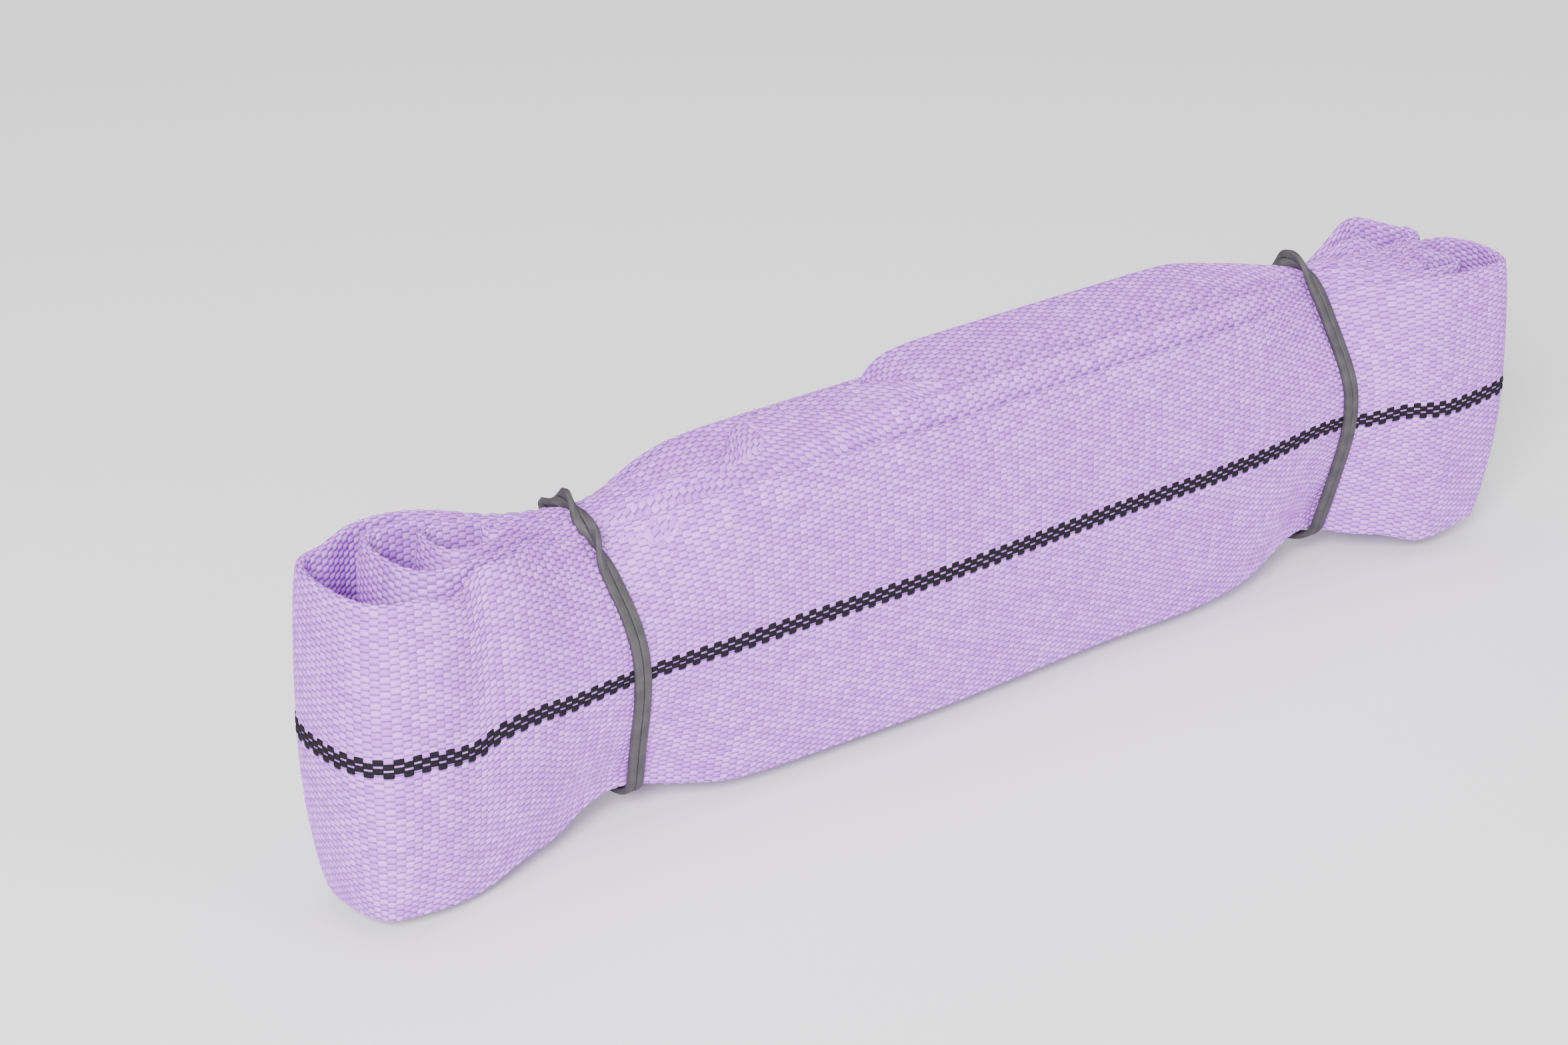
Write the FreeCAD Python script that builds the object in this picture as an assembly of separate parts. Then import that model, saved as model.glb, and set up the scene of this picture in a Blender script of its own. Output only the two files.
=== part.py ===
import FreeCAD, Part
import math
import os

# Endless textile sling folded into a flat hank that stands on its edge.
# Millimetres. X runs along the hank, Y through its thickness, Z up.
# Origin: middle of the hank's footprint on the surface it stands on.

os.makedirs("parts", exist_ok=True)

# ---------------------------------------------------------------- dimensions
SLEEVE_WIDTH = 58.5        # height of the flattened tube as it stands
PLY_THICKNESS = 2.2        # flattened tube with its core inside
COVER_WALL = 0.45          # woven wall
CORE_THICKNESS = 1.2
CORE_BOTTOM = 9.6
CORE_TOP = 52.0
LEFT_TIP = -125.0          # middle of the ply at the outermost left bight
RIGHT_TIP = 127.5          # middle of the ply at the outermost right bight
LEFT_BAND_X = -73.0
RIGHT_BAND_X = 86.5
LEFT_LIFT = 6.0            # the lower edge rises where each rubber band cinches
RIGHT_LIFT = 8.0
LIFT_RADIUS = 26.0
TOP_CINCH = 1.6            # and the upper edge drops
DEPTH_BAND = 10.2          # half depth of the ply stack, outermost mid-surfaces
DEPTH_MIDDLE = 12.2
DEPTH_LEFT = 13.4
DEPTH_RIGHT = 10.6
PLIES = 8
TRACER_WIDTH = 3.0
TRACER_THICKNESS = 0.12
TRACER_GAP = 0.03
BAND_WIDTH = 3.2           # two strands side by side
BAND_THICKNESS = 1.6
BAND_GAP = 0.3
STITCH_RADIUS = 0.22
JOINT_X = -24.0            # sewn lap where the two ends of the tube meet
JOINT_STITCHES = 16
LABEL_LENGTH = 62.0
LABEL_HEIGHT = 40.0
LABEL_THICKNESS = 0.5
LABEL_FILM = 0.12
LABEL_TAB = 7.0            # sewn strip of the label beside its fold
LABEL_HINGE_X = -8.0       # fold line the label flap swings about
LABEL_STITCHES = 12

# The loop runs through the eight plies in this order, front ply first.
# Each entry is ply, direction of travel, and the tip of the bight that follows.
ROUTE = [
    (1, 1, RIGHT_TIP),
    (6, -1, -99.5),
    (3, 1, 110.0),
    (4, -1, -87.0),
    (5, 1, 118.0),
    (2, -1, -112.5),
    (7, 1, 120.0),
    (8, -1, LEFT_TIP),
]


# ---------------------------------------------------------------- hank plan
def ramp(value):
    t = min(1.0, max(0.0, value))
    return t * t * (3.0 - 2.0 * t)


def hump(distance, width):
    return math.exp(-(distance / width) ** 2)


def lane(ply):
    return (ply - 0.5 * (PLIES + 1)) / (0.5 * (PLIES - 1))


def centre_y(x):
    return 1.5 * ramp((-85.0 - x) / 30.0) - 6.8 * ramp((x - 90.0) / 24.0)


def beside_band(x, band_x):
    return max(0.0, abs(x - band_x) - BAND_WIDTH)


def half_depth(x):
    to_left = ramp((LEFT_BAND_X - x) / 22.0)
    to_right = ramp((x - RIGHT_BAND_X) / 18.0)
    loose = DEPTH_MIDDLE + to_left * (DEPTH_LEFT - DEPTH_MIDDLE) + to_right * (DEPTH_RIGHT - DEPTH_MIDDLE)
    near_left = hump(beside_band(x, LEFT_BAND_X), 14.0)
    near_right = hump(beside_band(x, RIGHT_BAND_X), 14.0)
    return loose + max(near_left, near_right) * (DEPTH_BAND - loose)


def ply_y(mu, x):
    return centre_y(x) + mu * half_depth(x)


def bight_reach(mu_a, mu_b, x_tip):
    half = 0.5 * abs(mu_b - mu_a) * half_depth(x_tip)
    return max(2.2, 1.05 * half)


def stations(start, stop):
    spots = [x for x in range(-120, 121, 12)]
    spots = [x for x in spots if min(beside_band(x, LEFT_BAND_X), beside_band(x, RIGHT_BAND_X)) > 1.5]
    for band_x in (LEFT_BAND_X, RIGHT_BAND_X):
        spots += [band_x - BAND_WIDTH, band_x + BAND_WIDTH]
    low = min(start, stop) + 2.0
    high = max(start, stop) - 2.0
    return [start] + sorted([x for x in spots if low < x < high], reverse=start > stop) + [stop]


def mid_line():
    points = []
    for index, (ply, heading, tip) in enumerate(ROUTE):
        before = ROUTE[index - 1]
        after = ROUTE[(index + 1) % len(ROUTE)]
        mu = lane(ply)
        mu_after = lane(after[0])
        start = before[2] + heading * bight_reach(lane(before[0]), mu, before[2])
        reach = bight_reach(mu, mu_after, tip)
        stop = tip - heading * reach
        for x in stations(start, stop):
            points.append((x, ply_y(mu, x)))
        near = ply_y(mu, stop)
        far = ply_y(mu_after, stop)
        for step in range(1, 8):
            angle = math.pi * step / 8.0
            blend = 0.5 - 0.5 * math.cos(angle)
            points.append((stop + heading * reach * math.sin(angle), near + blend * (far - near)))
    return points


MID = mid_line()


def offset_line(offset):
    line = []
    for i, point in enumerate(MID):
        ahead = MID[(i + 1) % len(MID)]
        behind = MID[i - 1]
        dx = ahead[0] - behind[0]
        dy = ahead[1] - behind[1]
        size = math.hypot(dx, dy)
        line.append((point[0] + dy / size * offset, point[1] - dx / size * offset))
    return line


def dip(x, band_x, depth, radius):
    reach = radius * radius - beside_band(x, band_x) ** 2
    return max(0.0, math.sqrt(max(0.0, reach)) - radius + depth)


def lower_edge(x):
    left = dip(x, LEFT_BAND_X, LEFT_LIFT, LIFT_RADIUS)
    return max(left, dip(x, RIGHT_BAND_X, RIGHT_LIFT, LIFT_RADIUS))


def upper_edge(x):
    left = dip(x, LEFT_BAND_X, TOP_CINCH, LIFT_RADIUS)
    return SLEEVE_WIDTH - max(left, dip(x, RIGHT_BAND_X, TOP_CINCH, LIFT_RADIUS))


def panel(corners):
    faces = []
    for trio in ((0, 1, 2), (0, 2, 3)):
        points = [corners[n] for n in trio]
        faces.append(Part.Face(Part.makePolygon(points + [points[0]])))
    return faces


def loop_ring(outer, inner, low, high):
    sides = [offset_line(outer), offset_line(inner)]
    faces = []
    for i in range(len(MID)):
        k = (i + 1) % len(MID)
        low_i, low_k = low(MID[i][0]), low(MID[k][0])
        high_i, high_k = high(MID[i][0]), high(MID[k][0])
        down = [FreeCAD.Vector(side[n][0], side[n][1], z) for side in sides for n, z in ((i, low_i), (k, low_k))]
        up = [FreeCAD.Vector(side[n][0], side[n][1], z) for side in sides for n, z in ((i, high_i), (k, high_k))]
        faces += panel([down[0], down[1], up[1], up[0]])
        faces += panel([down[2], down[3], up[3], up[2]])
        faces += panel([down[0], down[1], down[3], down[2]])
        faces += panel([up[0], up[1], up[3], up[2]])
    solid = Part.Solid(Part.makeShell(faces))
    if solid.Volume < 0:
        solid.reverse()
    return solid


def level(z):
    return lambda x: z


# ---------------------------------------------------------------- cover, core
half_ply = 0.5 * PLY_THICKNESS
half_hollow = half_ply - COVER_WALL
outside = loop_ring(half_ply, -half_ply, lower_edge, upper_edge)
hollow = loop_ring(half_hollow, -half_hollow, level(CORE_BOTTOM - 0.4), level(CORE_TOP + 0.4))
cover_sleeve = Part.makeSolid(Part.makeCompound([outside.Shells[0], hollow.Shells[0].reversed()]))
load_core = loop_ring(0.5 * CORE_THICKNESS, -0.5 * CORE_THICKNESS, level(CORE_BOTTOM), level(CORE_TOP))

tracer_low = level(0.5 * (SLEEVE_WIDTH - TRACER_WIDTH))
tracer_high = level(0.5 * (SLEEVE_WIDTH + TRACER_WIDTH))
tracer_near = half_ply + TRACER_GAP
tracer_far = tracer_near + TRACER_THICKNESS
tracer_outer = loop_ring(tracer_far, tracer_near, tracer_low, tracer_high)
tracer_inner = loop_ring(-tracer_near, -tracer_far, tracer_low, tracer_high)


# ---------------------------------------------------------------- rubber bands
def rounded_frame(x, half_y, low, high, radius):
    face = Part.makeBox(
        BAND_WIDTH, 2.0 * half_y, high - low,
        FreeCAD.Vector(x - 0.5 * BAND_WIDTH, -half_y, low))
    corners = []
    for edge in face.Edges:
        a = edge.Vertexes[0].Point
        b = edge.Vertexes[1].Point
        if abs(a.x - b.x) > 0.5 * BAND_WIDTH:
            corners.append(edge)
    return face.makeFillet(radius, corners)


def rubber_band(x, lift):
    half_y = DEPTH_BAND + half_ply + TRACER_GAP + TRACER_THICKNESS + BAND_GAP
    low = lift - BAND_GAP
    high = SLEEVE_WIDTH - TOP_CINCH + BAND_GAP + 0.1
    t = BAND_THICKNESS
    outside = rounded_frame(x, half_y + t, low - t, high + t, 2.2)
    inside = Part.makeBox(
        BAND_WIDTH + 2.0, 2.0 * half_y, high - low,
        FreeCAD.Vector(x - 0.5 * BAND_WIDTH - 1.0, -half_y, low))
    return outside.cut(inside)


rubber_band_left = rubber_band(LEFT_BAND_X, LEFT_LIFT)
rubber_band_right = rubber_band(RIGHT_BAND_X, RIGHT_LIFT)


# ---------------------------------------------------------------- stitching
def stitch(x, y, z, length):
    return Part.makeCylinder(STITCH_RADIUS, length, FreeCAD.Vector(x, y, z - 0.5 * length))


joint_stitches = []
for row_x in (JOINT_X, JOINT_X + 4.0):
    face_y = ply_y(1.0, row_x) + half_ply
    for step in range(JOINT_STITCHES):
        z = 5.4 + step * 3.2
        if abs(z - 0.5 * SLEEVE_WIDTH) > 0.5 * TRACER_WIDTH + 1.3:
            joint_stitches.append(stitch(row_x, face_y + STITCH_RADIUS + 0.05, z, 2.4))
cover_joint_stitching = Part.makeCompound(joint_stitches)

# ---------------------------------------------------------------- label
label_face = ply_y(1.0, 10.0) + half_ply + TRACER_GAP + TRACER_THICKNESS + 0.32
label_low = 0.5 * (SLEEVE_WIDTH - LABEL_HEIGHT)
leaf_x = LABEL_HINGE_X + 0.3

label_leaf = Part.makeBox(
    LABEL_LENGTH, LABEL_THICKNESS, LABEL_HEIGHT,
    FreeCAD.Vector(leaf_x, label_face, label_low))
label_film = Part.makeBox(
    LABEL_LENGTH - 6.0, LABEL_FILM, LABEL_HEIGHT - 4.0,
    FreeCAD.Vector(leaf_x + 3.0, label_face + LABEL_THICKNESS + 0.02, label_low + 2.0))
label_tab = Part.makeBox(
    LABEL_TAB, LABEL_THICKNESS, LABEL_HEIGHT,
    FreeCAD.Vector(LABEL_HINGE_X - 0.45 - LABEL_TAB, label_face, label_low))

label_stitches = []
for row_x in (LABEL_HINGE_X - 2.2, LABEL_HINGE_X - 5.2):
    for step in range(LABEL_STITCHES):
        z = label_low + 2.4 + step * 3.2
        y = label_face + LABEL_THICKNESS + STITCH_RADIUS + 0.02
        label_stitches.append(stitch(row_x, y, z, 2.3))
label_stitching = Part.makeCompound(label_stitches)

# ---------------------------------------------------------------- export
nodes = {
    "cover_sleeve": cover_sleeve,
    "load_core": load_core,
    "tracer_outer": tracer_outer,
    "tracer_inner": tracer_inner,
    "cover_joint_stitching": cover_joint_stitching,
    "label_tab": label_tab,
    "label_leaf": label_leaf,
    "label_film": label_film,
    "label_stitching": label_stitching,
    "rubber_band_left": rubber_band_left,
    "rubber_band_right": rubber_band_right,
}

for name in nodes:
    nodes[name].exportStep("parts/" + name + ".step")
    print(name, nodes[name].isValid(), len(nodes[name].Solids), round(nodes[name].Volume, 1))
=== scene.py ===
import math

import bpy
import numpy as np
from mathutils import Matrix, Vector


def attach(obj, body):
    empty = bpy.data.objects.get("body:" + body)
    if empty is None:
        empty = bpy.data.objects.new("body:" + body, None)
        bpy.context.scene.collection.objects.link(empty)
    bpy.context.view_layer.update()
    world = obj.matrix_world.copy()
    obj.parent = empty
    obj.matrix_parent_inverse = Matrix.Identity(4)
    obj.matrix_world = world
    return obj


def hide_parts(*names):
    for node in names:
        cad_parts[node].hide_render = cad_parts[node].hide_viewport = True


# Endless textile sling folded into a hank that stands on its edge.
# The shapes are worked out in millimetres; make_mesh() turns them into metres.
# X runs along the hank, Y through its plies from front to rear, Z up.

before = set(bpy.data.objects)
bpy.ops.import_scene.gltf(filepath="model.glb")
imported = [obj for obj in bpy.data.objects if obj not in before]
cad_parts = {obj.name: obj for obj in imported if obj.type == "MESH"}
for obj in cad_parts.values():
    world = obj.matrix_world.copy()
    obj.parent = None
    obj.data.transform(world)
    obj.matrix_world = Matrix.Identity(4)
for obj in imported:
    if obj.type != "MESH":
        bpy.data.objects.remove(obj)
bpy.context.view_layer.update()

rng = np.random.default_rng(7)

# ------------------------------------------------------------------ sizes, mm
WIDTH = 60.0               # flattened tube
HALF_PLY = 1.1             # half its thickness
RIM = 0.62                 # radius of its soft rims
PLIES = 8
PICK = 1.35                # one weft pick along the loop
ENDS = 180                 # warp ends counted all the way round the tube
BRICK = 0.24               # relief of the weave
TRACER_ENDS = 4            # black yarns on each face
TRACER_SPREAD = 1.16       # the black yarns lie this much wider apart than the others
CORE_LOW, CORE_HIGH = 9.0, 51.0
CORE_HALF = 0.5
LEFT_BAND_X = -73.0
RIGHT_BAND_X = 86.5
LAP_X = (-24.0, -20.0)     # rows of stitches where the tube's two ends meet
COLUMNS = 41               # places across the width where the mid-surface is held

# ply, direction of travel, tip of the bight that follows
ROUTE = [
    (1, 1, 125.6),
    (6, -1, -103.0),
    (3, 1, 107.8),
    (4, -1, -92.0),
    (5, 1, 114.8),
    (2, -1, -112.2),
    (7, 1, 119.5),
    (8, -1, -124.0),
]


def ramp(value):
    """Smooth step from 0 to 1."""
    t = np.clip(value, 0.0, 1.0)
    return t * t * (3.0 - 2.0 * t)


def hump(x, centre, width):
    return np.exp(-((x - centre) / width) ** 2)


def hump2(x, centre, left, right):
    """Hump with a width of its own on each side."""
    return hump(x, centre, left if x < centre else right)


def lane(ply):
    """Place of a ply in the stack, -1 at the front and 1 at the rear."""
    return (ply - 0.5 * (PLIES + 1)) / (0.5 * (PLIES - 1))


# ------------------------------------------------------------------ hank shape
def centre_y(x):
    return -3.2 * ramp((-100.0 - x) / 22.0) - 5.6 * ramp((x - 86.0) / 22.0)


def cinch(x):
    """1 under a rubber band, 0 away from both."""
    return max(hump2(x, LEFT_BAND_X, 18.0, 15.0), hump2(x, RIGHT_BAND_X, 16.0, 10.0))


def groove(x):
    """Narrow dent right under each band."""
    return max(hump(x, LEFT_BAND_X, 3.2), hump(x, RIGHT_BAND_X, 3.2))


def half_depth(x, h, mu=0.0):
    """Half the stack's depth at height h, from -1 at the lower edge to 1 at the upper."""
    low = np.maximum(0.0, -h) ** 2
    high = np.maximum(0.0, h) ** 2
    left = 14.2 - 3.0 * ramp((-108.0 - x) / 14.0) - 3.4 * low - 0.4 * high
    belly = 11.7 + 1.2 * hump(x, -8.0, 28.0) + 0.5 * hump(x, 48.0, 11.0)
    middle = (belly if mu <= 0.0 else 11.8) - 3.2 * low - 1.0 * high
    right = 11.2 - 2.0 * low - 0.2 * high
    to_left = ramp((LEFT_BAND_X + 3.0 - x) / 26.0)
    to_right = ramp((x - RIGHT_BAND_X - 1.0) / 14.0)
    loose = middle + to_left * (left - middle) + to_right * (right - middle)
    pinch = 12.0 * np.maximum(0.0, h - 0.25) ** 1.5 + 7.0 * np.maximum(0.0, 0.15 - h) ** 1.7
    tight = np.maximum(4.6, (11.3 if x < 0 else 10.9) - pinch)
    return loose + cinch(x) * (tight - loose) - 0.55 * groove(x)


def flap(ply, x):
    """Length of the upper margin that lies over towards the rear."""
    if ply == 1:
        return 2.2 * hump(x, -90.0, 8.0)
    if ply == 2:
        wide = 13.5 - 11.2 * ramp((x + 46.0) / 34.0)
        return wide * ramp((x + 79.0) / 34.0) * ramp((94.0 - x) / 34.0)
    if ply == 3:
        narrow = 1.0 - 0.84 * ramp((x + 22.0) / 24.0)
        return 9.5 * narrow * ramp((x + 54.0) / 18.0) * ramp((92.0 - x) / 30.0)
    if ply == 4:
        return 10.5 * ramp((x + 26.0) / 22.0) * ramp((94.0 - x) / 36.0)
    return 0.0


def top_z(ply, x):
    """Upper edge of a ply: loose between the bands and at both ends, pulled down under them."""
    mu = lane(ply)
    ends_left = 57.6 - 1.0 * ramp((x + 100.0) / 20.0)
    ends_right = 56.2 - 1.2 * ramp((x - 112.0) / 12.0)
    middle = 56.6
    if ply == 1:
        middle = 55.6
        ends_left = 57.6 - 2.2 * hump2(x, -105.5, 8.0, 2.4) + 0.4 * hump(x, -96.0, 6.0)
        ends_right = 56.3 - 1.1 * ramp((x - 100.0) / 16.0)
    if ply == 2:
        middle = 58.6 + 0.3 * ramp((x + 30.0) / 40.0) - 1.0 * ramp((-48.0 - x) / 20.0)
    if ply == 3:
        middle = 58.6 + 0.7 * ramp((x + 40.0) / 30.0)
    if ply == 4:
        middle = 56.8 + 3.9 * ramp((x + 30.0) / 34.0) - 1.2 * ramp((x - 58.0) / 18.0)
    if ply == 7:
        ends_right += 3.0 * hump2(x, 101.0, 7.0, 5.0) - 1.2 * hump(x, 108.0, 3.2)
    if ply == 8:
        ends_left -= 0.9 * ramp((-106.0 - x) / 12.0)
        ends_right += 4.0 * hump(x, 105.0, 8.5)
    to_left = ramp((LEFT_BAND_X - x) / 14.0)
    to_right = ramp((x - RIGHT_BAND_X) / 10.0)
    loose = middle + to_left * (ends_left - middle) + to_right * (ends_right - middle)
    tight = (55.4 if x < 0 else 57.4) - (3.4 if x < 0 else 4.6) * abs(mu) ** 2
    return loose + cinch(x) * (tight - loose) - 0.5 * groove(x)


def bottom_z(ply, x):
    """Lower edge of a ply, lifted under the bands and towards the noses."""
    mu = lane(ply)
    lift = 5.4 * hump2(x, LEFT_BAND_X, 17.0, 12.0) + 5.6 * hump2(x, RIGHT_BAND_X, 15.0, 10.0)
    arch = 2.2 * abs(mu) ** 2 * ramp((x + 74.0) / 16.0) * ramp((90.0 - x) / 14.0)
    nose = (3.0 * ramp((-112.0 - x) / 14.0) + 1.2 * ramp((-86.0 - x) / 12.0)
            + 2.6 * ramp((x - 90.0) / 10.0) + 2.6 * ramp((x - 114.0) / 12.0))
    ripple = 0.5 * math.sin(x * 0.33 + ply) * ramp((abs(x - 6.75) - 84.0) / 10.0)
    return 0.75 + lift + arch + nose + ripple + 0.7 * abs(mu) ** 3 * cinch(x)


def sway(ply, x, h):
    """Small departures of single plies from their lane."""
    high = np.maximum(0.0, h) ** 1.5
    shift = 1.6 * cinch(x) * np.maximum(0.0, h) ** 2
    if ply == 8:
        shift = shift + 2.6 * hump(x, 107.0, 6.0) * high
    if ply == 7:
        shift = shift - 0.8 * hump(x, 108.0, 5.0) * high
    if ply == 1:
        shift = shift + 1.2 * hump(x, -102.5, 3.0) * high - 0.8 * hump(x, -111.0, 5.0) * high
        shift = shift + 0.9 * ramp((x + 66.0) / 12.0) * ramp((84.0 - x) / 12.0) * np.maximum(0.0, h) ** 6
    return shift


def profile(ply, x, omega):
    """Mid-surface of one ply across its width, bottom edge first."""
    mu = lane(ply)
    top = top_z(ply, x)
    low = bottom_z(ply, x)
    over = flap(ply, x)
    span = top - low
    if over > 0.2:
        span = span + (WIDTH + 3.0 - span) * ramp(over / 8.0)
    z = top - (WIDTH - omega) * span / WIDTH
    h = np.clip(2.0 * (z - low) / (top - low) - 1.0, -1.2, 1.0)
    y = centre_y(x) + mu * half_depth(x, h, mu) + sway(ply, x, h)
    if over > 0.2:
        bend = 9.0
        lean = math.radians(77.0) * min(1.0, over / 6.0) ** 0.7
        phi = lean * ramp((omega - (WIDTH - over - 0.6 * bend)) / bend)
        step = omega[1] - omega[0]
        sines, cosines = np.sin(phi), np.cos(phi) - 1.0
        dy = np.concatenate([[0.0], np.cumsum(0.5 * (sines[1:] + sines[:-1]) * step)])
        dz = np.concatenate([[0.0], np.cumsum(0.5 * (cosines[1:] + cosines[:-1]) * step)])
        y = y + dy
        z = z + dz
        z = z + (top - z.max())
        z = z + max(0.0, low - z[0]) * (1.0 - omega / WIDTH)
    return np.stack([np.full_like(omega, x), y, z], axis=1)


def tip_shift(h, heading):
    """How far a bight falls back at its lower and upper corners."""
    low, high = np.maximum(0.0, -h) ** 2, np.maximum(0.0, h) ** 2
    return (2.6 * low + 1.0 * high) if heading < 0 else (8.6 * low + 2.2 * high)


def bight_reach(mu_a, mu_b, x_tip):
    """Length of the turn between two plies."""
    half = 0.5 * abs(mu_b - mu_a) * float(half_depth(x_tip, 0.0))
    return max(2.3, 1.25 * half ** 0.8)


def control_rows():
    """Mid-surface rows once round the loop, and the ply that each belongs to."""
    omega = np.linspace(0.0, WIDTH, COLUMNS)
    h = omega / WIDTH * 2.0 - 1.0
    rows = []
    owner = []
    for index, (ply, heading, tip) in enumerate(ROUTE):
        before = ROUTE[index - 1]
        after = ROUTE[(index + 1) % len(ROUTE)]
        start = before[2] + heading * bight_reach(lane(before[0]), lane(ply), before[2])
        reach = bight_reach(lane(ply), lane(after[0]), tip)
        stop = tip - heading * reach
        count = int(abs(stop - start) / 2.0)
        for i in range(count + 1):
            rows.append(profile(ply, start + (stop - start) * i / count, omega))
            owner.append(index)
        near = profile(ply, stop, omega)
        far = profile(after[0], stop, omega)
        steps = 11 if reach > 5.0 else 7
        for step in range(1, steps):
            angle = math.pi * step / steps
            c, s = math.cos(angle), math.sin(angle)
            blunt = 0.78 if heading < 0 else 0.95
            blend = 0.5 - 0.5 * math.copysign(abs(c) ** blunt, c)
            row = near + (far - near) * blend
            row[:, 0] = stop + heading * reach * abs(s) ** blunt
            row[:, 0] -= heading * tip_shift(h, heading) * s * min(1.0, reach / 6.0)
            rows.append(row)
            owner.append(index)
    return np.array(rows), np.array(owner)


ROWS, OWNER = control_rows()


def spline(t):
    """Closed uniform cubic B-spline through the control rows."""
    n = len(ROWS)
    i = np.floor(t).astype(int)
    f = (t - i)[:, None, None]
    a = ROWS[(i - 1) % n]
    b = ROWS[i % n]
    c = ROWS[(i + 1) % n]
    d = ROWS[(i + 2) % n]
    return ((1 - f) ** 3 * a + (3 * f ** 3 - 6 * f ** 2 + 4) * b
            + (-3 * f ** 3 + 3 * f ** 2 + 3 * f + 1) * c + f ** 3 * d) / 6.0


FINE_T = np.linspace(0.0, len(ROWS), len(ROWS) * 6 + 1)
FINE = spline(FINE_T)
MIDDLE = FINE[:, COLUMNS // 2]
LENGTHS = np.concatenate([[0.0], np.cumsum(np.linalg.norm(np.diff(MIDDLE, axis=0), axis=1))])
LOOP = LENGTHS[-1]
PICKS = int(round(LOOP / PICK / 2.0)) * 2
print("loop length", round(LOOP, 1), "mm, picks", PICKS)


def rows_at(s):
    """Rows of the mid-surface, and their outward normals, at distances s along the loop."""
    def place(d):
        return spline(np.interp(np.mod(d, LOOP), LENGTHS, FINE_T))
    m = place(s)
    along = place(s + 0.35) - place(s - 0.35)
    across = np.gradient(m, axis=1)
    normal = np.cross(along, across)
    normal /= np.linalg.norm(normal, axis=2)[:, :, None]
    return m, normal


# ------------------------------------------------------------------ tube section
def tube_section(count):
    """Closed outline of the flattened tube: (place across the width, offset), evenly spaced."""
    w = np.linspace(RIM, WIDTH - RIM, 400)
    u = np.abs(2.0 * w / WIDTH - 1.0)
    puff = RIM + (HALF_PLY - RIM) * (1.0 - u ** 7)
    turn = np.linspace(0.0, math.pi, 40)[1:-1]
    top = np.stack([WIDTH - RIM + RIM * np.sin(turn), RIM * np.cos(turn)], 1)
    base = np.stack([RIM - RIM * np.sin(turn), -RIM * np.cos(turn)], 1)
    line = np.concatenate([np.stack([w, puff], 1), top, np.stack([w[::-1], -puff[::-1]], 1), base])
    closed = np.concatenate([line, line[:1]])
    run = np.concatenate([[0.0], np.cumsum(np.linalg.norm(np.diff(closed, axis=0), axis=1))])
    where = np.arange(count) / count * run[-1]
    return np.stack([np.interp(where, run, closed[:, 0]), np.interp(where, run, closed[:, 1])], 1)


def across_matrix(w):
    """Catmull-Rom weights that take the mid-surface columns to places w across the width."""
    pos = np.clip(w / WIDTH * (COLUMNS - 1), 0.0, COLUMNS - 1)
    i = np.minimum(np.floor(pos).astype(int), COLUMNS - 2)
    f = pos - i
    weights = np.zeros((len(w), COLUMNS))
    parts = [(-1, -0.5 * f + f ** 2 - 0.5 * f ** 3), (0, 1 - 2.5 * f ** 2 + 1.5 * f ** 3),
             (1, 0.5 * f + 2 * f ** 2 - 1.5 * f ** 3), (2, -0.5 * f ** 2 + 0.5 * f ** 3)]
    for shift, value in parts:
        np.add.at(weights, (np.arange(len(w)), np.clip(i + shift, 0, COLUMNS - 1)), value)
    return weights


def surface_points(s, section, lift):
    """Tube surface at distances s: section gives place and offset, lift an extra height."""
    m, normal = rows_at(s)
    weights = across_matrix(section[:, 0])
    p = np.einsum("jk,ikc->ijc", weights, m)
    n = np.einsum("jk,ikc->ijc", weights, normal)
    n /= np.linalg.norm(n, axis=2)[:, :, None]
    # the rims also reach outwards along the width
    edge_low = np.clip((RIM - section[:, 0]) / RIM, 0.0, 1.0)
    edge_high = np.clip((section[:, 0] - (WIDTH - RIM)) / RIM, 0.0, 1.0)
    up = m[:, -1] - m[:, -3]
    up /= np.linalg.norm(up, axis=1)[:, None]
    down = m[:, 0] - m[:, 2]
    down /= np.linalg.norm(down, axis=1)[:, None]
    offset = section[:, 1][None, :, None]
    face = np.sign(section[:, 1])[None, :, None]
    out = n * face * (1.0 - np.maximum(edge_low, edge_high))[None, :, None]
    out = out + up[:, None, :] * edge_high[None, :, None] + down[:, None, :] * edge_low[None, :, None]
    out /= np.maximum(np.linalg.norm(out, axis=2), 1e-6)[:, :, None]
    return p + n * offset + out * lift[:, :, None], out


def tracer_start(face):
    """Index of the first black yarn on one face of the tube."""
    half = ENDS // 2
    return half // 2 - TRACER_ENDS // 2 + face * half


def float_height(du, dv):
    """Height of one float at du picks and dv float widths from its middle."""
    along = np.maximum(0.0, 1.0 - (np.abs(du) / 0.60) ** 3.0)
    across = np.maximum(0.0, 1.0 - (np.abs(dv) / 0.50) ** 2.2)
    return along * across


def brick_height(s_index, w_index, per_pick, per_end):
    """Height of the weave: floats of neighbouring picks interlock like tiles."""
    pick = s_index // per_pick
    du = ((s_index % per_pick) / per_pick - 0.5)[:, None]
    shifted = w_index[None, :] + (pick % 2)[:, None] * per_end
    dv = (shifted % (2 * per_end)) / (2.0 * per_end) - 0.5
    own = float_height(du, dv)
    other = float_height(1.0 - np.abs(du), 0.5 - np.abs(dv))
    return np.maximum(own, other)


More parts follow.
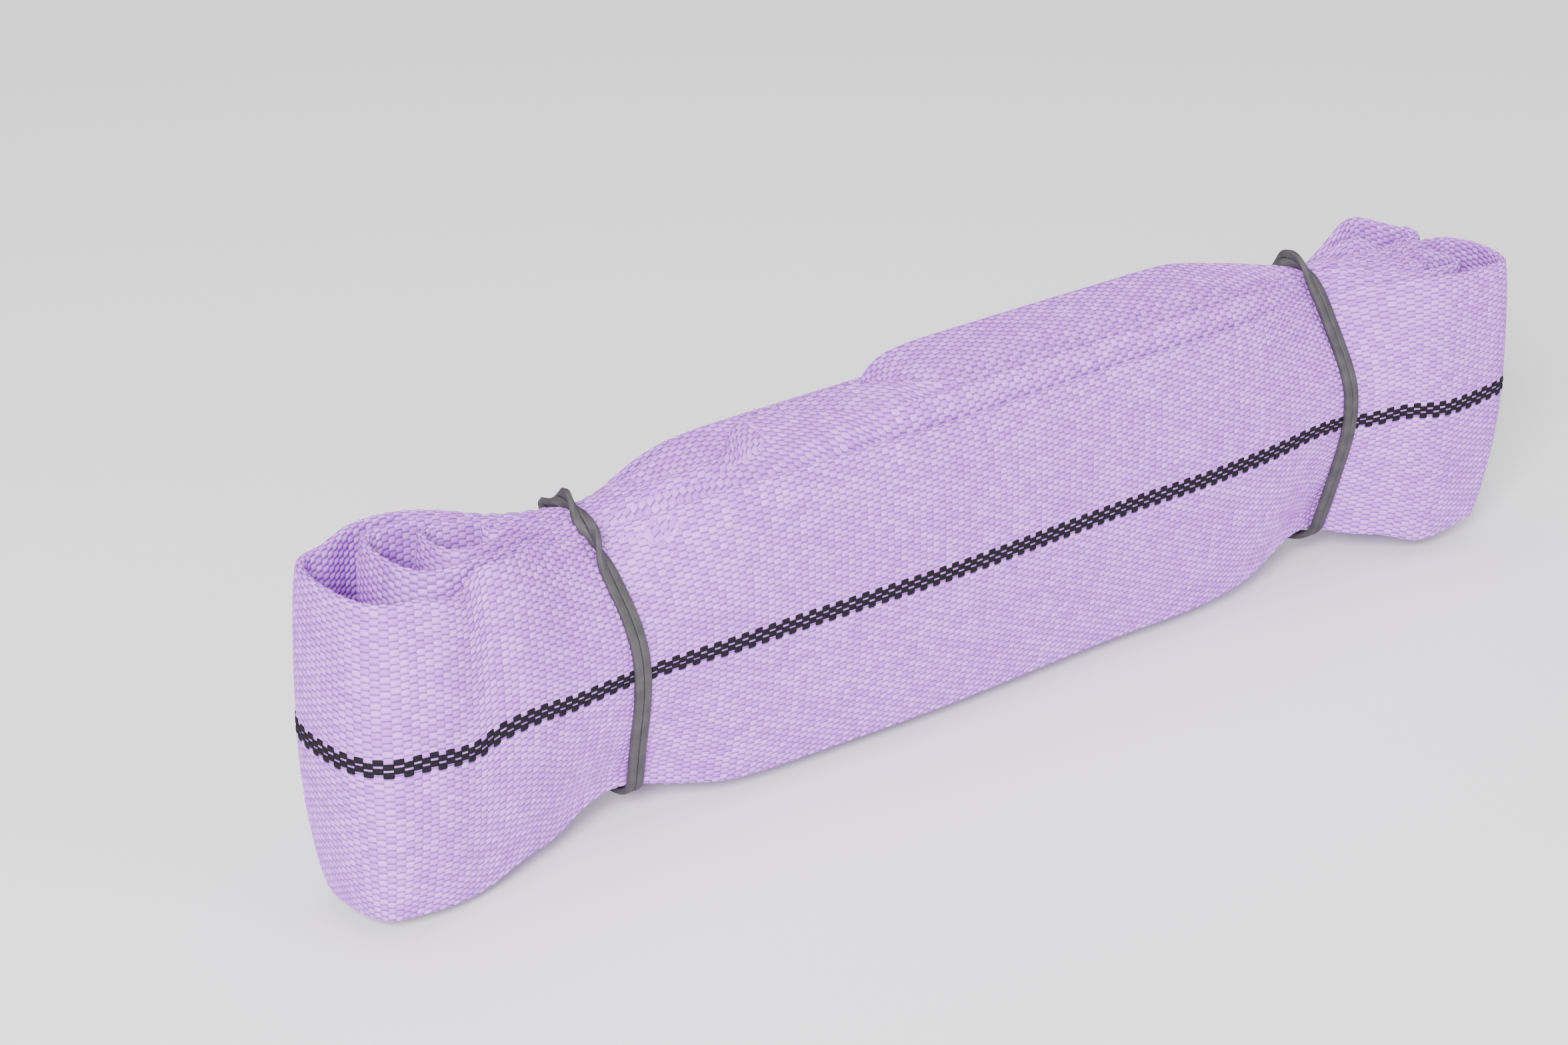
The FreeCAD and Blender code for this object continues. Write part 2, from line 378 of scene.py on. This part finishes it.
def make_mesh(name, verts, faces, uvs=None):
    """Smooth mesh object from points in millimetres."""
    mesh = bpy.data.meshes.new(name)
    faces = np.asarray(faces, dtype=np.int32)
    sides = faces.shape[1]
    mesh.vertices.add(len(verts))
    mesh.vertices.foreach_set("co", (np.asarray(verts) * 0.001).astype(np.float32).ravel())
    mesh.loops.add(faces.size)
    mesh.loops.foreach_set("vertex_index", faces.ravel())
    mesh.polygons.add(len(faces))
    mesh.polygons.foreach_set("loop_start", np.arange(0, faces.size, sides, dtype=np.int32))
    mesh.polygons.foreach_set("loop_total", np.full(len(faces), sides, dtype=np.int32))
    mesh.update(calc_edges=True)
    if uvs is not None:
        layer = mesh.uv_layers.new(name="weave")
        layer.data.foreach_set("uv", np.asarray(uvs, dtype=np.float32).ravel())
    mesh.polygons.foreach_set("use_smooth", np.full(len(faces), True))
    mesh.validate()
    mesh.update()
    obj = bpy.data.objects.new(name, mesh)
    bpy.context.scene.collection.objects.link(obj)
    return obj


def ring_faces(rows, cols):
    """Quads of a grid that is closed both ways."""
    i = np.arange(rows)[:, None]
    j = np.arange(cols)[None, :]
    i2 = (i + 1) % rows
    k = (j + 1) % cols
    return np.stack([i * cols + j, i2 * cols + j, i2 * cols + k, i * cols + k], 2).reshape(-1, 4)


def sleeve_piece(name, pick_from, pick_to, per_pick, per_end):
    """One length of the woven tube; its UVs count picks and pairs of warp ends."""
    s_index = np.arange(pick_from * per_pick, pick_to * per_pick + 1)
    s = s_index / per_pick * LOOP / PICKS
    count = ENDS * per_end
    section = tube_section(count)
    w_index = np.arange(count)
    height = brick_height(s_index, w_index, per_pick, per_end)
    ends = w_index / per_end
    for face in (0, 1):
        first = tracer_start(face)
        inside = (ends > first - 0.6) & (ends < first + TRACER_ENDS + 0.6)
        height[:, inside] = 0.35
    points, _ = surface_points(s, section, BRICK * (height - 0.5))
    rows, cols = len(s_index), count
    i = np.arange(rows - 1)[:, None]
    j = np.arange(cols)[None, :]
    k = (j + 1) % cols
    a = i * cols + j
    b = (i + 1) * cols + j
    c = (i + 1) * cols + k
    d = i * cols + k
    faces = np.stack([a, b, c, d], axis=2).reshape(-1, 4)
    u0 = np.broadcast_to((s_index[:-1] / per_pick)[:, None], (rows - 1, cols))
    u1 = np.broadcast_to((s_index[1:] / per_pick)[:, None], (rows - 1, cols))
    v0 = np.broadcast_to((w_index / (2.0 * per_end))[None, :], (rows - 1, cols))
    v1 = v0 + 0.5 / per_end
    corners = ((u0, v0), (u1, v0), (u1, v1), (u0, v1))
    uv = np.stack([np.stack(corner, 2) for corner in corners], 2)
    return make_mesh(name, points.reshape(-1, 3), faces, uv.reshape(-1, 2))


def pillow_grid(nu, nv):
    u = np.linspace(-1.0, 1.0, nu)
    v = np.linspace(-1.0, 1.0, nv)
    return np.meshgrid(u, v, indexing="ij")


def tracer_piece(name, face):
    """Four black yarns; each shows as a short float over every second pick."""
    nu, nv = 8, 7
    gu, gv = pillow_grid(nu, nv)
    gu = np.sign(gu) * np.minimum(1.0, np.abs(gu) * 1.25)
    gv = np.sign(gv) * np.minimum(1.0, np.abs(gv) * 1.30)
    skirt = np.zeros((nu, nv))
    skirt[0], skirt[-1], skirt[:, 0], skirt[:, -1] = 1.0, 1.0, 1.0, 1.0
    rise = (1.0 - 0.7 * np.abs(gu) ** 4.0) * (1.0 - 0.7 * np.abs(gv) ** 3.0)
    first = tracer_start(face)
    section_all = tube_section(ENDS * 20)
    centre = 0.5 * TRACER_ENDS
    s_list, w_list, z_list = [], [], []
    for pick in range(PICKS):
        for end in range(TRACER_ENDS):
            if (pick + end) % 2:
                continue
            s_mid = pick + 0.5 + rng.normal(0, 0.015)
            w_mid = first + centre + (end + 0.5 - centre) * TRACER_SPREAD + rng.normal(0, 0.03)
            s_list.append(s_mid + gu * (0.63 - 0.06 * np.abs(gv) ** 3))
            w_list.append(w_mid + gv * (0.92 - 0.12 * np.abs(gu) ** 3) + gu * 0.04)
            z_list.append(0.04 + 0.16 * rise - 0.35 * skirt)
    s_all = np.array(s_list) * LOOP / PICKS
    w_all = np.array(w_list)
    z_all = np.array(z_list)
    bricks = len(s_all)
    m, normal = rows_at(s_all[:, :, 0].ravel())
    where = np.mod(w_all.reshape(bricks * nu, nv) / ENDS, 1.0) * len(section_all)
    lower = np.floor(where).astype(int) % len(section_all)
    w_mm = section_all[lower, 0]
    offset = section_all[lower, 1]
    pos = w_mm / WIDTH * (COLUMNS - 1)
    base = np.minimum(np.floor(pos).astype(int), COLUMNS - 2)
    f = (pos - base)[:, :, None]
    row = np.arange(bricks * nu)[:, None]
    p = m[row, base] * (1 - f) + m[row, base + 1] * f
    n = normal[row, base] * (1 - f) + normal[row, base + 1] * f
    n /= np.linalg.norm(n, axis=2)[:, :, None]
    side = 1.0 if face == 0 else -1.0
    p = p + n * offset[:, :, None] + n * side * z_all.reshape(bricks * nu, nv)[:, :, None]
    i = np.arange(nu - 1)[:, None] * nv + np.arange(nv - 1)[None, :]
    quad = np.stack([i, i + nv, i + nv + 1, i + 1], 2).reshape(-1, 4)
    if side < 0:
        quad = quad[:, ::-1]
    start = np.arange(bricks) * nu * nv
    faces = (start[:, None, None] + quad[None]).reshape(-1, 4)
    return make_mesh(name, p.reshape(-1, 3), faces)


# ------------------------------------------------------------------ materials
def new_material(name):
    mat = bpy.data.materials.new(name)
    mat.use_nodes = True
    tree = mat.node_tree
    tree.nodes.clear()
    out = tree.nodes.new("ShaderNodeOutputMaterial")
    shader = tree.nodes.new("ShaderNodeBsdfPrincipled")
    tree.links.new(shader.outputs["BSDF"], out.inputs["Surface"])
    return mat, tree, shader


def node(tree, kind, **values):
    made = tree.nodes.new(kind)
    for key, value in values.items():
        setattr(made, key, value)
    return made


def math_node(tree, op, a, b=None, clamp=False):
    made = node(tree, "ShaderNodeMath", operation=op, use_clamp=clamp)
    for index, value in enumerate((a, b)):
        if value is None:
            continue
        if isinstance(value, (int, float)):
            made.inputs[index].default_value = value
        else:
            tree.links.new(value, made.inputs[index])
    return made.outputs[0]


def mix_color(tree, factor, a, b):
    made = node(tree, "ShaderNodeMix", data_type="RGBA")
    for socket, value in ((made.inputs[0], factor), (made.inputs[6], a), (made.inputs[7], b)):
        if isinstance(value, (int, float, tuple)):
            socket.default_value = value
        else:
            tree.links.new(value, socket)
    return made.outputs[2]


def add_bump(tree, shader, height, strength, distance):
    bump = node(tree, "ShaderNodeBump")
    bump.inputs["Strength"].default_value = strength
    bump.inputs["Distance"].default_value = distance
    tree.links.new(height, bump.inputs["Height"])
    tree.links.new(bump.outputs[0], shader.inputs["Normal"])


def object_noise(tree, scale):
    coords = node(tree, "ShaderNodeTexCoord")
    noise = node(tree, "ShaderNodeTexNoise")
    noise.inputs["Scale"].default_value = scale
    tree.links.new(coords.outputs["Object"], noise.inputs["Vector"])
    return noise


LILAC = (0.46, 0.13, 0.70, 1.0)
LILAC_LIGHT = (0.70, 0.31, 0.93, 1.0)
# painted shade: deep purple for the hollows between yarns
GAP_SHADE = (0.075, 0.014, 0.24, 1.0)


def float_nodes(tree, du, dv):
    """float_height() as shader nodes."""
    along = math_node(tree, "POWER", math_node(tree, "DIVIDE", math_node(tree, "ABSOLUTE", du), 0.60), 3.0)
    across = math_node(tree, "POWER", math_node(tree, "DIVIDE", math_node(tree, "ABSOLUTE", dv), 0.50), 2.2)
    along = math_node(tree, "SUBTRACT", 1.0, along, clamp=True)
    across = math_node(tree, "SUBTRACT", 1.0, across, clamp=True)
    return math_node(tree, "MULTIPLY", along, across)


def weave_material():
    """Plain weave: every yarn has its own tone, and painted shade darkens the gaps between yarns."""
    mat, tree, shader = new_material("cover_weave")
    uv = node(tree, "ShaderNodeUVMap", uv_map="weave")
    split = node(tree, "ShaderNodeSeparateXYZ")
    tree.links.new(uv.outputs[0], split.inputs[0])
    u, v = split.outputs[0], split.outputs[1]
    column = math_node(tree, "FLOOR", u)
    du = math_node(tree, "SUBTRACT", math_node(tree, "SUBTRACT", u, column), 0.5)
    odd = math_node(tree, "FLOORED_MODULO", column, 2.0)
    shifted = math_node(tree, "ADD", v, math_node(tree, "MULTIPLY", odd, 0.5))
    row = math_node(tree, "FLOOR", shifted)
    dv = math_node(tree, "SUBTRACT", math_node(tree, "SUBTRACT", shifted, row), 0.5)
    own = float_nodes(tree, du, dv)
    far_u = math_node(tree, "SUBTRACT", 1.0, math_node(tree, "ABSOLUTE", du))
    far_v = math_node(tree, "SUBTRACT", 0.5, math_node(tree, "ABSOLUTE", dv))
    height = math_node(tree, "MAXIMUM", own, float_nodes(tree, far_u, far_v))
    # painted shade mask: the lower the weave between floats, the more shade is painted there
    gap_shade_mask = math_node(tree, "SUBTRACT", 1.0, math_node(tree, "DIVIDE", height, 0.62, clamp=True), clamp=True)
    gap_shade_mask = math_node(tree, "POWER", gap_shade_mask, 1.2)
    # each yarn's own tone
    cell = node(tree, "ShaderNodeCombineXYZ")
    tree.links.new(column, cell.inputs[0])
    tree.links.new(row, cell.inputs[1])
    white = node(tree, "ShaderNodeTexWhiteNoise", noise_dimensions="2D")
    tree.links.new(cell.outputs[0], white.inputs["Vector"])
    # filaments along the yarn
    stretch = node(tree, "ShaderNodeCombineXYZ")
    tree.links.new(math_node(tree, "MULTIPLY", u, 1.3), stretch.inputs[0])
    tree.links.new(math_node(tree, "MULTIPLY", v, 26.0), stretch.inputs[1])
    fibres = node(tree, "ShaderNodeTexNoise", noise_dimensions="2D")
    fibres.inputs["Scale"].default_value = 1.0
    fibres.inputs["Detail"].default_value = 3.0
    tree.links.new(stretch.outputs[0], fibres.inputs["Vector"])
    # slow drift of tone over the cloth
    slow = node(tree, "ShaderNodeTexNoise", noise_dimensions="2D")
    slow.inputs["Scale"].default_value = 0.06
    slow.inputs["Detail"].default_value = 4.0
    tree.links.new(uv.outputs[0], slow.inputs["Vector"])

    base = mix_color(tree, math_node(tree, "MULTIPLY", white.outputs["Value"], 0.8), LILAC, LILAC_LIGHT)
    streak = math_node(tree, "MULTIPLY", math_node(tree, "SUBTRACT", fibres.outputs["Fac"], 0.5), 1.1)
    drift = math_node(tree, "MULTIPLY", math_node(tree, "SUBTRACT", slow.outputs["Fac"], 0.5), 0.7)
    tone = math_node(tree, "ADD", math_node(tree, "ADD", streak, drift), 0.2, clamp=True)
    base = mix_color(tree, tone, base, LILAC)
    # painted shade is mixed into the yarn colour in the hollows between floats
    shade = math_node(tree, "MULTIPLY", gap_shade_mask, 0.92)
    colour = mix_color(tree, shade, base, GAP_SHADE)
    tree.links.new(colour, shader.inputs["Base Color"])
    shader.inputs["Roughness"].default_value = 0.50
    shader.inputs["Specular IOR Level"].default_value = 0.30
    relief = math_node(tree, "ADD", math_node(tree, "MULTIPLY", fibres.outputs["Fac"], 0.25), height)
    add_bump(tree, shader, relief, 0.7, 0.00028)
    return mat


def yarn_material(name, dark, light, scale, rough, gloss=0.35):
    """Fine mottled finish for yarn, thread and rubber."""
    mat, tree, shader = new_material(name)
    noise = object_noise(tree, scale)
    noise.inputs["Detail"].default_value = 5.0
    colour = mix_color(tree, noise.outputs["Fac"], dark, light)
    tree.links.new(colour, shader.inputs["Base Color"])
    shader.inputs["Roughness"].default_value = rough
    shader.inputs["Specular IOR Level"].default_value = gloss
    add_bump(tree, shader, noise.outputs["Fac"], 0.4, 0.0001)
    return mat


WEAVE = weave_material()
TRACER = yarn_material("tracer_yarn", (0.006, 0.005, 0.008, 1), (0.014, 0.012, 0.017, 1),
                       2500.0, 0.75, gloss=0.08)
CORE = yarn_material("core_yarn", (0.6, 0.58, 0.54, 1), (0.85, 0.83, 0.78, 1), 1500.0, 0.8)
THREAD = yarn_material("sewing_thread", (0.20, 0.09, 0.42, 1), (0.34, 0.19, 0.58, 1), 2500.0, 0.6)
PALE_THREAD = yarn_material("label_thread", (0.5, 0.5, 0.55, 1), (0.75, 0.75, 0.78, 1), 2500.0, 0.6)


# ------------------------------------------------------------------ sleeve
def finish_piece(obj, mat, body, slot_name, *nodes):
    obj.data.materials.append(mat)
    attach(obj, body)
    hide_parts(*nodes)
    return obj


PICK_OF_ROW = np.interp(np.arange(len(ROWS)), FINE_T, LENGTHS) / LOOP * PICKS
FIRST_ROWS = [np.nonzero(OWNER == n)[0][0] for n in range(len(ROUTE))]
# each ply starts on an even pick, so that the weave runs on unbroken
starts = [int(round(PICK_OF_ROW[row] / 2.0)) * 2 for row in FIRST_ROWS] + [PICKS]
starts[0] = 0
for n, (ply, _, _) in enumerate(ROUTE):
    fine = ply in (1, 2, 4, 8)          # the plies that show most
    halfway = (starts[n] + starts[n + 1]) // 4 * 2
    for part, (first, last) in enumerate(((starts[n], halfway), (halfway, starts[n + 1]))):
        per_pick, per_end = ((4, 2 if fine else 1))
        piece = sleeve_piece("cover_ply_%d%s" % (ply, "ab"[part]), first, last, per_pick, per_end)
        finish_piece(piece, WEAVE, "hank", "cover_weave", "cover_sleeve")

finish_piece(tracer_piece("tracer_outer", 0), TRACER, "hank", "tracer_yarn", "tracer_outer")
finish_piece(tracer_piece("tracer_inner", 1), TRACER, "hank", "tracer_yarn", "tracer_inner")


# ------------------------------------------------------------------ core
def core_piece():
    """Flat endless band of yarn inside the tube."""
    count = int(LOOP / 3.0)
    s = np.arange(0, count) * LOOP / count
    side = 22
    w = np.concatenate([np.linspace(CORE_LOW, CORE_HIGH, side), np.linspace(CORE_HIGH, CORE_LOW, side)])
    o = np.concatenate([np.full(side, CORE_HALF), np.full(side, -CORE_HALF)])
    section = np.stack([w, o], 1)
    points, _ = surface_points(s, section, np.zeros((len(s), len(section))))
    return make_mesh("load_core", points.reshape(-1, 3), ring_faces(len(s), len(section)))


finish_piece(core_piece(), CORE, "hank", "core_yarn", "load_core")


# ------------------------------------------------------------------ rubber bands
def convex_hull(points):
    points = sorted(set((round(float(y), 4), round(float(z), 4)) for y, z in points))

    def half(run):
        chain = []
        for p in run:
            while len(chain) > 1:
                (ay, az), (by, bz) = chain[-2], chain[-1]
                if (by - ay) * (p[1] - az) - (bz - az) * (p[0] - ay) > 0:
                    break
                chain.pop()
            chain.append(p)
        return chain[:-1]

    return np.array(half(points) + half(points[::-1]))


def band_path(x_band, skew, tilt, clear, count):
    """Closed path round the plies, with its outward direction; it starts at the bottom."""
    omega = np.linspace(0.0, WIDTH, 61)
    cloud = []
    for ply in range(1, PLIES + 1):
        for x in (x_band - 1.5, x_band, x_band + 1.5):
            cloud.append(profile(ply, x, omega)[:, 1:])
    hull = convex_hull(np.concatenate(cloud))
    turn = np.linspace(0.0, 2.0 * math.pi, 24, endpoint=False)
    ring = np.stack([np.cos(turn), np.sin(turn)], 1) * clear
    hull = convex_hull((hull[:, None, :] + ring[None]).reshape(-1, 2))
    first = np.argmin(hull[:, 1])
    hull = np.roll(hull, -first, axis=0)
    closed = np.concatenate([hull, hull[:1]])
    run = np.concatenate([[0.0], np.cumsum(np.linalg.norm(np.diff(closed, axis=0), axis=1))])
    where = np.arange(count) / count * run[-1]
    yz = np.stack([np.interp(where, run, closed[:, 0]), np.interp(where, run, closed[:, 1])], 1)
    for _ in range(30):
        yz = 0.5 * yz + 0.25 * (np.roll(yz, 1, axis=0) + np.roll(yz, -1, axis=0))
    along = np.roll(yz, -1, axis=0) - np.roll(yz, 1, axis=0)
    along /= np.linalg.norm(along, axis=1)[:, None]
    out = np.stack([along[:, 1], -along[:, 0]], 1)
    x = x_band + skew * yz[:, 0] / 12.0 + tilt * (yz[:, 1] - 30.0) / 30.0
    return np.column_stack([x, yz]), np.column_stack([np.zeros(count), out])


def rubber_band(name, x_band, skew, tilt, twist_from, twist_to, turns, phase):
    """Doubled band with squarish strands, twisted by half turns over part of its way round."""
    count, around = 420, 16
    path, out = band_path(x_band, skew, tilt, HALF_PLY - 0.15, count)
    # the loop is doubled, so one strand runs round twice and closes on itself
    share = np.arange(count) / count
    twist = turns * math.pi * ramp((share - twist_from) / (twist_to - twist_from))
    angle = np.concatenate([twist, twist + turns * math.pi])
    path = np.concatenate([path, path])
    out = np.concatenate([out, out])
    side = np.array([1.0, 0.0, 0.0])
    wide = np.cos(angle)[:, None] * side + np.sin(angle)[:, None] * out
    thick = -np.sin(angle)[:, None] * side + np.cos(angle)[:, None] * out
    wander = 0.12 * np.sin(2.0 * math.pi * (3.0 * np.arange(2 * count) / count + phase))
    standoff = 0.46 + 0.50 * np.abs(np.sin(angle))
    middle = path + wide * 0.76 + out * standoff[:, None] + side * wander[:, None]
    turn = np.arange(around) / around * 2.0 * math.pi
    c, d = np.cos(turn), np.sin(turn)
    a = 0.74 * np.sign(c) * np.abs(c) ** 0.42
    b = 0.54 * np.sign(d) * np.abs(d) ** 0.42
    ring = middle[:, None, :] + a[None, :, None] * wide[:, None, :] + b[None, :, None] * thick[:, None, :]
    return make_mesh(name, ring.reshape(-1, 3), ring_faces(2 * count, around))


RUBBER = yarn_material("band_rubber", (0.016, 0.015, 0.017, 1), (0.07, 0.067, 0.07, 1), 420.0, 0.66)
finish_piece(rubber_band("rubber_band_left", -72.7, -0.7, -4.1, 0.38, 0.63, 3, 0.1), RUBBER,
             "hank", "band_rubber", "rubber_band_left")
finish_piece(rubber_band("rubber_band_right", 85.3, -2.3, -0.8, 0.44, 0.56, 1, 0.6), RUBBER,
             "hank", "band_rubber", "rubber_band_right")


# ------------------------------------------------------------------ threads and label
def capsules(name, middles, lengths, axes, radius, mat, slot_name, body, *nodes):
    """Short round-ended stitches, each a capsule along its axis."""
    around, rings = 8, 6
    lat = np.linspace(-math.pi / 2, math.pi / 2, rings)
    lon = np.arange(around) / around * 2.0 * math.pi
    verts, faces = [], []
    for middle, length, axis in zip(middles, lengths, axes):
        axis = np.array(axis) / np.linalg.norm(axis)
        other = np.cross(axis, [0.0, 1.0, 0.0])
        other /= np.linalg.norm(other)
        third = np.cross(axis, other)
        base = len(verts) * around
        for t in lat:
            shift = math.sin(t) * radius + math.copysign(0.5 * length - radius, t)
            ring = (np.array(middle) + axis * shift + radius * math.cos(t) * (
                np.cos(lon)[:, None] * other + np.sin(lon)[:, None] * third))
            verts.append(ring)
        for r in range(rings - 1):
            for q in range(around):
                nxt = (q + 1) % around
                faces.append([base + r * around + q, base + r * around + nxt,
                              base + (r + 1) * around + nxt, base + (r + 1) * around + q])
    obj = make_mesh(name, np.concatenate(verts), faces)
    return finish_piece(obj, mat, body, slot_name, *nodes)


def rear_face(x, z):
    """Outer surface of the rear ply at one place."""
    omega = np.linspace(0.0, WIDTH, 121)
    row = profile(PLIES, x, omega)
    return float(np.interp(z, row[:, 2], row[:, 1])) + HALF_PLY


middles, lengths, axes = [], [], []
for row_x in LAP_X:
    for step in range(17):
        z = 4.6 + step * 3.1
        if abs(z - 0.5 * WIDTH) > 2.4:      # none on the tracer
            middles.append((row_x + rng.normal(0, 0.06), rear_face(row_x, z) + 0.16, z))
            lengths.append(2.3 + rng.normal(0, 0.08))
            axes.append((rng.normal(0, 0.04), 0.0, 1.0))
capsules("cover_joint_stitching", middles, lengths, axes, 0.24, THREAD, "sewing_thread", "hank",
         "cover_joint_stitching")

HINGE_X = -8.1
LABEL_LOW, LABEL_HIGH = 9.25, 49.25
LABEL_BOW = 0.9            # how far the free end of the leaf stands off


def card(name, x_from, x_to, y_near, y_far, low, high, bow, corner):
    """Thin sheet on edge, bowed towards the rear as it leaves the fold."""
    nx, nz = 48, 32
    gx = np.linspace(0.0, 1.0, nx)
    gz = np.linspace(0.0, 1.0, nz)
    layers = []
    for y in (y_near, y_far):
        x = x_from + (x_to - x_from) * gx[:, None] + 0.0 * gz[None, :]
        z = low + (high - low) * gz[None, :] + 0.0 * gx[:, None]
        if corner > 0.0:
            # rounded free corners
            past = np.maximum(0.0, x - (x_to - corner))
            room = corner - np.sqrt(np.maximum(0.0, corner ** 2 - past ** 2))
            z = np.clip(z, low + room, high - room)
        reach = np.maximum(0.0, x - HINGE_X) / 62.0
        ripple = 0.10 * np.sin(reach * 9.0 + gz[None, :] * 2.0) * reach
        layers.append(np.stack([x, y + bow * reach ** 2 + bow * ripple, z], 2).reshape(-1, 3))
    verts = np.concatenate(layers)
    side = nx * nz
    i = (np.arange(nx - 1)[:, None] * nz + np.arange(nz - 1)[None, :]).ravel()
    front = np.stack([i, i + nz, i + nz + 1, i + 1], 1)
    back = front[:, ::-1] + side
    edge = (list(range(nz)) + [q * nz + nz - 1 for q in range(1, nx)]
            + [(nx - 1) * nz + q for q in range(nz - 2, -1, -1)] + [q * nz for q in range(nx - 2, 0, -1)])
    edge = np.array(edge)
    nxt = np.roll(edge, -1)
    rim = np.stack([edge, nxt, nxt + side, edge + side], 1)
    faces = np.concatenate([front, back, rim])
    place = np.stack(np.meshgrid(gx, gz, indexing="ij"), 2).reshape(-1, 2)
    return make_mesh(name, verts, faces, np.concatenate([place, place])[faces].reshape(-1, 2))


def label_material():
    """Blue fabric with a pale woven border."""
    mat, tree, shader = new_material("label_fabric")
    uv = node(tree, "ShaderNodeUVMap", uv_map="weave")
    split = node(tree, "ShaderNodeSeparateXYZ")
    tree.links.new(uv.outputs[0], split.inputs[0])

    def rim(value, reach):
        from_middle = math_node(tree, "ABSOLUTE", math_node(tree, "SUBTRACT", value, 0.5))
        return math_node(tree, "LESS_THAN", math_node(tree, "SUBTRACT", 0.5, from_middle), reach)

    border = math_node(tree, "MAXIMUM", rim(split.outputs[0], 0.012), rim(split.outputs[1], 0.022))
    noise = object_noise(tree, 700.0)
    blue = mix_color(tree, noise.outputs["Fac"], (0.010, 0.035, 0.20, 1), (0.02, 0.09, 0.36, 1))
    colour = mix_color(tree, border, blue, (0.32, 0.55, 0.78, 1))
    tree.links.new(colour, shader.inputs["Base Color"])
    shader.inputs["Roughness"].default_value = 0.42
    add_bump(tree, shader, noise.outputs["Fac"], 0.25, 0.0001)
    return mat


def film_material():
    mat, tree, shader = new_material("label_film")
    noise = object_noise(tree, 90.0)
    colour = mix_color(tree, noise.outputs["Fac"], (0.012, 0.04, 0.20, 1), (0.03, 0.08, 0.30, 1))
    tree.links.new(colour, shader.inputs["Base Color"])
    shader.inputs["Roughness"].default_value = 0.24
    shader.inputs["Specular IOR Level"].default_value = 0.35
    add_bump(tree, shader, noise.outputs["Fac"], 0.2, 0.0003)
    return mat


LABEL = label_material()
tab = finish_piece(card("label_tab", -15.45, HINGE_X - 0.3, 13.72, 14.22, LABEL_LOW, LABEL_HIGH, 0.0, 0.0),
                   LABEL, "hank", "label_fabric", "label_tab")
leaf = finish_piece(card("label_leaf", HINGE_X, 54.3, 13.77, 14.27, LABEL_LOW, LABEL_HIGH, LABEL_BOW, 3.0),
                    LABEL, "label_flap", "label_fabric", "label_leaf")
film = finish_piece(card("label_film", -4.7, 51.3, 14.275, 14.39, 11.25, 47.25, LABEL_BOW, 2.0),
                    film_material(), "label_flap", "label_film", "label_film")
middles, lengths, axes = [], [], []
for row_x in (-10.2, -13.2):
    for step in range(12):
        middles.append((row_x + rng.normal(0, 0.04), 14.30, LABEL_LOW + 2.4 + step * 3.2))
        lengths.append(2.3)
        axes.append((rng.normal(0, 0.03), 0.0, 1.0))
capsules("label_stitching", middles, lengths, axes, 0.2, PALE_THREAD, "label_thread", "hank",
         "label_stitching")

# ------------------------------------------------------------------ camera, light, floor
scene = bpy.context.scene


def add_floor():
    size = 3000.0
    verts = np.array([[-size, -size, 0], [size, -size, 0], [size, size, 0], [-size, size, 0]])
    floor = make_mesh("floor", verts, [[0, 1, 2, 3]])
    mat, tree, shader = new_material("floor")
    shader.inputs["Base Color"].default_value = (0.86, 0.86, 0.87, 1.0)
    shader.inputs["Roughness"].default_value = 0.7
    floor.data.materials.append(mat)


add_floor()


def area_light(name, place, target, size, power):
    data = bpy.data.lights.new(name, "AREA")
    data.shape = "SQUARE"
    data.size = size
    data.energy = power
    light = bpy.data.objects.new(name, data)
    light.location = place
    light.rotation_euler = (Vector(target) - Vector(place)).to_track_quat("-Z", "Y").to_euler()
    scene.collection.objects.link(light)


area_light("key", (-0.82, -0.66, 0.64), (-0.02, 0, 0.03), 0.45, 36.0)
area_light("top", (0.1, 0.15, 1.1), (0, 0, 0.03), 0.9, 8.0)
area_light("fill", (0.55, -0.9, 0.35), (0.03, 0, 0.03), 0.8, 7.0)
world = bpy.data.worlds.new("studio")
world.use_nodes = True
world.node_tree.nodes["Background"].inputs[0].default_value = (1.0, 1.0, 1.0, 1.0)
world.node_tree.nodes["Background"].inputs[1].default_value = 0.52
scene.world = world

camera_data = bpy.data.cameras.new("camera")
camera_data.sensor_width = 36.0
camera_data.lens = 84.184
camera = bpy.data.objects.new("camera", camera_data)
camera.location = (-0.37383, -0.42412, 0.28872)
bearing = math.radians(51.3)
pitch = math.radians(24.5)
level = math.cos(pitch)
look = Vector((math.cos(bearing) * level, math.sin(bearing) * level, -math.sin(pitch)))
camera.rotation_euler = look.to_track_quat("-Z", "Y").to_euler()
scene.collection.objects.link(camera)
scene.camera = camera
